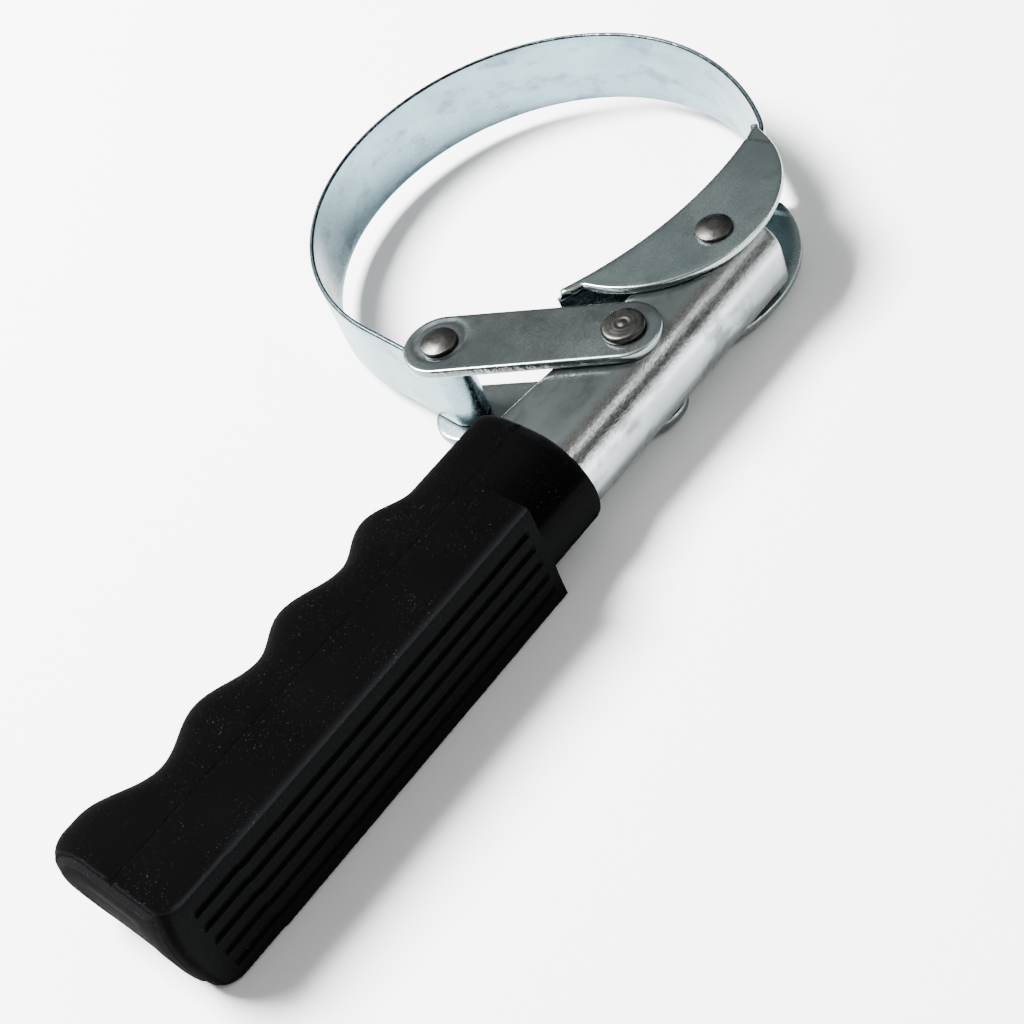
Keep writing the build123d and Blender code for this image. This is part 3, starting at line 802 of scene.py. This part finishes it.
def end_rings(last):
    """The rim that rounds over, and the shrinking rings that close the butt."""
    rings = []
    centre_y = (min(p[1] for p in last) + max(p[1] for p in last)) / 2
    for turn in quarter(5, 1):
        inset, fall = RIM_INSET * (1 - math.cos(turn)), RIM_FALL * math.sin(turn)
        across, high = 1 - inset / RIM_DEPTH, 1 - inset / HALF_H
        rings.append([
            (x - fall, centre_y + (y - centre_y) * across, z * high) for x, y, z in last
        ])
    rim = rings[-1]
    for share in between(0.0, 1.0, 15, short=1):
        ring = []
        for _, y, z in rim:
            near_y, near_z = (y - centre_y) * (1 - share), z * (1 - share)
            end_x = BUTT_X - RIM_FALL - BUTT_DOME * (1 - (near_z / HALF_H) ** 2)
            recess = BUTT_RECESS * smooth(0.3, 0.62, share)
            ring.append((end_x + recess, centre_y + near_y, near_z))
        rings.append(ring)
    return rings


def make_grip():
    """The moulded grip, with grooves, finger ridges, parting line and a swelling butt."""
    rings = collar_rings() + body_rings() + butt_rings()
    return loft("grip_moulding", rings + end_rings(rings[-1]), sharp_deg=32)


def edge_tint_spared(place):
    """Whether a place in metres lies on the parting line or on the body's step to the collar."""
    on_line = abs(place.y / MM - PART_Y) < SEAM_SPARED and place.x / MM > BUTT_X
    return on_line or abs(place.x / MM - BODY_X) < STEP_SPARED


# ---- build -----------------------------------------------------------------------------------
band = make_band()
saddle = make_saddle()
handle = make_handle()
upper = make_link("upper_link_plate", side=1)
lower = make_link("lower_link_plate", side=-1)
domed, flat, eye_domed = dome_profile(SADDLE_TOP), flat_profile(LINK_TOP), dome_profile(LINK_TOP)
rivet_a = make_rivet("saddle_rivet_turned", PIVOT, PIVOT_SHANK_R, domed, seed=1)
rivet_b = make_rivet("link_rivet_turned", LINK_PIVOT, PIVOT_SHANK_R, flat, seed=2)
rivet_c = make_rivet("eye_rivet_turned", EYE, EYE_SHANK_R, eye_domed, seed=3)
grip = make_grip()

for piece, nodes, body, slot in (
    (saddle, ("saddle",), "head", "saddle_steel"),
    (handle, ("handle_channel",), "handle", "handle_steel"),
    (upper, ("upper_link",), "links", "link_steel"),
    (lower, ("lower_link",), "links", "link_steel"),
    (rivet_a, ("saddle_rivet",), "head", "rivet_steel"),
    (rivet_b, ("link_rivet",), "links", "rivet_steel"),
    (rivet_c, ("eye_rivet",), "links", "rivet_steel"),
    (grip, ("grip",), "handle", "grip_rubber"),
):
    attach(piece, body)
    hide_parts(*nodes)
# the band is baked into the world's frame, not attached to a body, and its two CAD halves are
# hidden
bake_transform(band)
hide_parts("band_fixed_half", "band_free_half")


# ---- materials -------------------------------------------------------------------------------
# the Mix node's sockets for colours
MIX_SHARE, MIX_A, MIX_B, MIX_RESULT = 0, 6, 7, 2


class Graph:
    """One material's nodes, with short calls for the patterns that its finish is made of."""

    def __init__(self, name):
        self.material = bpy.data.materials.new(name)
        self.material.use_nodes = True
        self.tree = self.material.node_tree
        self.shader = self.tree.nodes["Principled BSDF"]
        self.places = self.tree.nodes.new("ShaderNodeTexCoord").outputs["Object"]

    def set(self, socket, value):
        """Gives a socket a link or a value."""
        if isinstance(value, bpy.types.NodeSocket):
            self.tree.links.new(value, socket)
        elif socket.type == "RGBA" and len(value) == 3:
            socket.default_value = (*value, 1.0)
        else:
            socket.default_value = value

    def noise(self, per_metre, detail=3.0, stretch=(1, 1, 1), rough=0.55):
        """Noise from 0 to 1, finer along the axes with a larger stretch."""
        mapping = self.tree.nodes.new("ShaderNodeMapping")
        mapping.inputs["Scale"].default_value = stretch
        self.set(mapping.inputs["Vector"], self.places)
        node = self.tree.nodes.new("ShaderNodeTexNoise")
        self.set(node.inputs["Vector"], mapping.outputs["Vector"])
        node.inputs["Scale"].default_value = per_metre
        node.inputs["Detail"].default_value = detail
        node.inputs["Roughness"].default_value = rough
        return node.outputs["Fac"]

    def remap(self, value, low, high, to_low=0.0, to_high=1.0):
        """A value moved from one range to another and held inside it."""
        node = self.tree.nodes.new("ShaderNodeMapRange")
        for name, number in zip(("Value", "From Min", "From Max", "To Min", "To Max"),
                                (value, low, high, to_low, to_high)):
            self.set(node.inputs[name], number)
        return node.outputs["Result"]

    def math(self, kind, a, b):
        """Arithmetic on two values."""
        node = self.tree.nodes.new("ShaderNodeMath")
        node.operation = kind
        self.set(node.inputs[0], a)
        self.set(node.inputs[1], b)
        return node.outputs["Value"]

    def mix(self, share, a, b):
        """Colour a where the share is 0, colour b where it is 1."""
        node = self.tree.nodes.new("ShaderNodeMix")
        node.data_type = "RGBA"
        self.set(node.inputs[MIX_SHARE], share)
        self.set(node.inputs[MIX_A], a)
        self.set(node.inputs[MIX_B], b)
        return node.outputs[MIX_RESULT]

    def painted(self, name):
        """A number painted on the vertices."""
        node = self.tree.nodes.new("ShaderNodeAttribute")
        node.attribute_name = name
        return node.outputs["Fac"]

    def bump(self, height, depth, strength, under=None):
        """A relief of a depth in metres, on top of another one if given."""
        node = self.tree.nodes.new("ShaderNodeBump")
        node.inputs["Distance"].default_value = depth
        self.set(node.inputs["Strength"], strength)
        self.set(node.inputs["Height"], height)
        if under is not None:
            self.set(node.inputs["Normal"], under)
        return node.outputs["Normal"]

    def finish(self, colour, rough, normal):
        """Gives the shader its colour, roughness and relief, and returns the material."""
        self.set(self.shader.inputs["Base Color"], colour)
        self.set(self.shader.inputs["Roughness"], rough)
        self.set(self.shader.inputs["Normal"], normal)
        return self.material


def shade(colour, share):
    """A colour made darker or brighter."""
    return tuple(c * share for c in colour)


def metal(name):
    """A material's nodes with the shader set to metal."""
    g = Graph(name)
    g.shader.inputs["Metallic"].default_value = 1.0
    return g


def zinc(name, base, stain, stained, edge, rough=(0.17, 0.30), streak=(1, 1, 1), dabs=150):
    """Zinc plated sheet: cloudy plating, smudges, fine scratches, and edges tinted to a given
    colour: dark as painted shade on the band, light as a painted highlight on the saddle and
    links.
    """
    g = metal(name)
    cloud = g.noise(70, 4.0, streak)
    smudge = g.remap(g.noise(dabs, 5.0, streak, 0.6), 0.53, 0.68, 0.0, stained)
    colour = g.mix(g.remap(cloud, 0.3, 0.7), base, shade(base, 0.78))
    colour = g.mix(smudge, colour, stain)
    scratch = g.noise(260, 2.0, (1.0, 9.0, 9.0))
    fleck = g.noise(2600, 2.0)
    colour = g.mix(g.remap(scratch, 0.6, 0.72, 0.0, 0.35), colour, shade(base, 1.25))
    # edges tinted to the edge colour: painted shade on the band, painted highlight on the saddle
    # and links
    edge_painted_light = g.math("MULTIPLY", g.painted("edge"), g.remap(g.noise(600, 3.0), 0.3, 0.5, 0.6, 1.0))
    colour = g.mix(edge_painted_light, colour, edge)
    torn = g.painted("torn")
    shear = g.noise(1700, 3.0, (1, 1, 0.5))
    colour = g.mix(g.math("MULTIPLY", torn, g.remap(shear, 0.45, 0.6, 0.9, 0.0)), colour, stain)
    gloss = g.remap(g.math("ADD", cloud, g.math("MULTIPLY", fleck, 0.5)), 0.5, 1.0, *rough)
    relief = g.bump(scratch, 0.00004, 0.35)
    relief = g.bump(fleck, 0.00002, 0.5, relief)
    relief = g.bump(shear, 0.0003, torn, relief)
    return g.finish(colour, gloss, relief)


def stretched_zinc(name, base, back, bent, clouded):
    """The handle's plated sheet, grainy and browner where the press stretched its bends, with its
    back painted lighter than its flanges as painted light.
    """
    g = metal(name)
    along = (0.6, 1, 1)
    cloud = g.noise(60, 4.0, along)
    grain = g.noise(2600, 3.0, along)
    grit = g.noise(4200, 2.0)
    bend = g.painted("bend")
    speck = g.math("MULTIPLY", bend, g.remap(grain, 0.42, 0.62, 0.35, 0.85))
    # the channel's back painted lighter than its flanges: painted light
    ground = g.mix(g.painted("back"), base, back)
    colour = g.mix(g.remap(cloud, 0.3, 0.7, 0.0, 0.25), ground, clouded)
    smudge = g.remap(g.noise(150, 5.0, along, 0.62), 0.53, 0.66, 0.0, 0.8)
    colour = g.mix(smudge, colour, shade(base, 0.6))
    colour = g.mix(speck, colour, bent)
    gloss = g.remap(g.math("ADD", cloud, g.math("MULTIPLY", bend, 0.25)), 0.3, 0.9, 0.16, 0.33)
    scratch = g.noise(240, 2.0, (1.0, 10.0, 10.0))
    relief = g.bump(scratch, 0.00004, 0.3)
    relief = g.bump(grain, 0.00006, g.math("MULTIPLY", bend, 0.8), relief)
    relief = g.bump(grit, 0.00002, g.math("ADD", g.math("MULTIPLY", bend, 0.4), 0.2), relief)
    return g.finish(colour, gloss, relief)


def peened(name, base):
    """Turned and hammered rivet steel, brownish, with small dark pits."""
    g = metal(name)
    cloud = g.noise(420, 4.0)
    pit = g.remap(g.noise(1300, 3.0), 0.56, 0.68, 0.0, 0.7)
    colour = g.mix(g.remap(cloud, 0.35, 0.65), base, shade(base, 0.62))
    colour = g.mix(pit, colour, shade(base, 0.3))
    colour = g.mix(g.math("MULTIPLY", g.painted("edge"), 0.45), colour, shade(base, 1.6))
    gloss = g.remap(cloud, 0.3, 0.7, 0.24, 0.42)
    relief = g.bump(g.noise(900, 3.0), 0.00006, 0.5)
    return g.finish(colour, gloss, relief)


def moulded_rubber(name, base, paler, scuffed, edge_wear_and_highlight, palm_painted_light, dusty):
    """Matte black moulded rubber with a fine grain, pale scuffs and dust, edges lighter as wear
    and painted highlight, and a palm face painted lighter as painted light.
    """
    g = Graph(name)
    g.shader.inputs["Specular IOR Level"].default_value = 0.006
    cloud = g.noise(55, 4.0)
    dust = g.remap(g.noise(2900, 2.0), 0.66, 0.74, 0.0, 0.5)
    edge = g.painted("edge")
    lodged = g.math("ADD", g.remap(g.noise(90, 3.0), 0.4, 0.62), edge)
    settled = g.math("MULTIPLY", dust, lodged)
    colour = g.mix(g.remap(cloud, 0.35, 0.7), base, paler)
    scuff = g.remap(g.noise(130, 3.0, (1.0, 7.0, 7.0)), 0.68, 0.78, 0.0, 0.4)
    colour = g.mix(scuff, colour, scuffed)
    # lighter edges: wear, and a painted highlight that lightens the ribbed palm side
    colour = g.mix(g.math("MULTIPLY", edge, 0.5), colour, edge_wear_and_highlight)
    # the palm face painted lighter: painted fill light on the ribbed side
    colour = g.mix(g.math("MULTIPLY", g.painted("palm"), 0.8), colour, palm_painted_light)
    colour = g.mix(settled, colour, dusty)
    gloss = g.remap(cloud, 0.3, 0.7, 0.72, 0.86)
    relief = g.bump(g.noise(1800, 3.0), 0.00010, 0.5)
    relief = g.bump(g.noise(260, 2.0), 0.00016, 0.35, relief)
    return g.finish(colour, gloss, relief)


def paper(name, pale, less_pale):
    """The pale studio floor, with a hardly visible grain."""
    g = Graph(name)
    colour = g.mix(g.remap(g.noise(5, 2.0), 0.3, 0.7), pale, less_pale)
    gloss = g.remap(g.noise(8, 2.0), 0.3, 0.7, 0.85, 0.9)
    return g.finish(colour, gloss, g.bump(g.noise(900), 0.00002, 0.2))


# the band's edge colour is near black: painted shade on its rounded edges
band_zinc = zinc(
    "band_zinc", base=(0.19, 0.29, 0.33), stain=(0.09, 0.125, 0.15), stained=0.8,
    edge=(0.012, 0.014, 0.016), rough=(0.2, 0.34), streak=(1, 1, 2.0), dabs=115,
)
# the saddle's edge colour is light: a painted highlight on its edges
saddle_zinc = zinc(
    "saddle_zinc", base=(0.225, 0.275, 0.275), stain=(0.13, 0.14, 0.14), stained=0.6,
    edge=(0.52, 0.55, 0.55),
)
# the links' edge colour is light: a painted highlight on their edges
link_zinc = zinc(
    "link_zinc", base=(0.155, 0.178, 0.178), stain=(0.085, 0.085, 0.08), stained=0.55,
    edge=(0.34, 0.39, 0.41),
)
# base is the flanges' colour, painted darker as shade, and back is the channel back's, painted
# lighter as light
handle_zinc = stretched_zinc(
    "handle_zinc", base=(0.20, 0.228, 0.232), back=(0.46, 0.52, 0.535),
    bent=(0.11, 0.10, 0.088), clouded=(0.05, 0.055, 0.055),
)
rivet_steel = peened("rivet_steel", base=(0.05, 0.0485, 0.047))
rubber = moulded_rubber(
    "rubber", base=(0.0005, 0.0005, 0.0006), paler=(0.0011, 0.0011, 0.0012),
    scuffed=(0.005, 0.005, 0.005), edge_wear_and_highlight=(0.008, 0.0085, 0.009),
    palm_painted_light=(0.0045, 0.0048, 0.005), dusty=(0.03, 0.031, 0.033),
)

for piece, material in (
    (band, band_zinc),
    (saddle, saddle_zinc),
    (handle, handle_zinc),
    (upper, link_zinc),
    (lower, link_zinc),
    (rivet_a, rivet_steel),
    (rivet_b, rivet_steel),
    (rivet_c, rivet_steel),
    (grip, rubber),
):
    piece.data.materials.append(material)
paint_edges(band, high_deg=22)
for piece in (saddle, handle, upper, lower, rivet_a, rivet_b, rivet_c):
    paint_edges(piece)
paint_edges(grip, spared=edge_tint_spared)
for link in (upper, lower):
    paint(link, "torn", shear_at)
# 1 on the palm face and in its grooves, where the rubber is painted lighter as painted light; on
# the channel's back, painted lighter than its flanges as painted light; and on its two bends
paint(grip, "palm", lambda v: 1 - smooth(PALM_Y + 0.9, PALM_Y + 1.5, v.co.y / MM))
paint(handle, "back", lambda v: smooth(0.55, 0.9, -v.normal.y))
paint(handle, "bend", lambda v: smooth(0.25, 0.75, 2 * abs(v.normal.y * v.normal.z)))
for name in ("saddle_pivot_spacer", "link_pivot_spacer"):
    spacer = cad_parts[name]
    spacer.data.materials.clear()
    spacer.data.materials.append(rivet_steel)

# ---- stage, in metres ------------------------------------------------------------------------
FLOOR_HALF, FLOOR_Z = 1.6, -0.01215
floor_mesh = bpy.data.meshes.new("floor")
floor_mesh.from_pydata(
    [(x * FLOOR_HALF, y * FLOOR_HALF, FLOOR_Z) for x, y in ((-1, -1), (1, -1), (1, 1), (-1, 1))],
    [],
    [(0, 1, 2, 3)],
)
floor = bpy.data.objects.new("floor", floor_mesh)
bpy.context.scene.collection.objects.link(floor)
floor.data.materials.append(paper("paper", (0.93, 0.93, 0.93), (0.915, 0.915, 0.915)))

camera = bpy.data.objects.new("camera", bpy.data.cameras.new("camera"))
bpy.context.scene.collection.objects.link(camera)
camera.data.lens = 67.412
camera.data.sensor_width = 36.0
camera.data.clip_start = 0.01
camera.location = (-0.183427, -0.246573, 0.240066)
camera.rotation_euler = [math.radians(a) for a in (41.2209, 17.4770, -49.8412)]
bpy.context.scene.camera = camera


def area(name, place, size, watts, aim=(-0.03, -0.02, 0)):
    """A soft rectangular light that points at a place near the object's middle."""
    data = bpy.data.lights.new(name, "AREA")
    data.shape = "RECTANGLE"
    data.size, data.size_y = size
    data.energy = watts
    lamp = bpy.data.objects.new(name, data)
    bpy.context.scene.collection.objects.link(lamp)
    lamp.location = place
    lamp.rotation_euler = (Vector(aim) - Vector(place)).to_track_quat("-Z", "Y").to_euler()


area("key", place=(-0.22, 0.52, 0.88), size=(0.45, 0.45), watts=100)
area("rim", place=(0.36, -0.62, 0.70), size=(0.5, 0.08), watts=3)


def studio_sky(stops):
    """A grey sky; stops are (height from -1 to 1, colour), the lowest and highest first."""
    world = bpy.data.worlds.new("studio")
    world.use_nodes = True
    tree = world.node_tree
    places = tree.nodes.new("ShaderNodeTexCoord")
    split = tree.nodes.new("ShaderNodeSeparateXYZ")
    ramp = tree.nodes.new("ShaderNodeValToRGB")
    shift = tree.nodes.new("ShaderNodeMapRange")
    tree.links.new(places.outputs["Generated"], split.inputs[0])
    shift.inputs["From Min"].default_value = -1.0
    tree.links.new(split.outputs["Z"], shift.inputs["Value"])
    tree.links.new(shift.outputs["Result"], ramp.inputs["Fac"])
    for index, (height, grey) in enumerate(stops):
        share = (height + 1) / 2
        if index < 2:
            stop = ramp.color_ramp.elements[index]
            stop.position = share
        else:
            stop = ramp.color_ramp.elements.new(share)
        stop.color = (*grey, 1.0)
    tree.links.new(ramp.outputs["Color"], tree.nodes["Background"].inputs["Color"])
    return world


# dark at the horizon, brighter overhead
bpy.context.scene.world = studio_sky((
    (0.0, (0.03, 0.03, 0.032)),
    (1.0, (0.72, 0.68, 0.62)),
    (0.28, (0.05, 0.05, 0.055)),
    (0.55, (0.34, 0.36, 0.37)),
    (0.8, (0.52, 0.54, 0.54)),
))
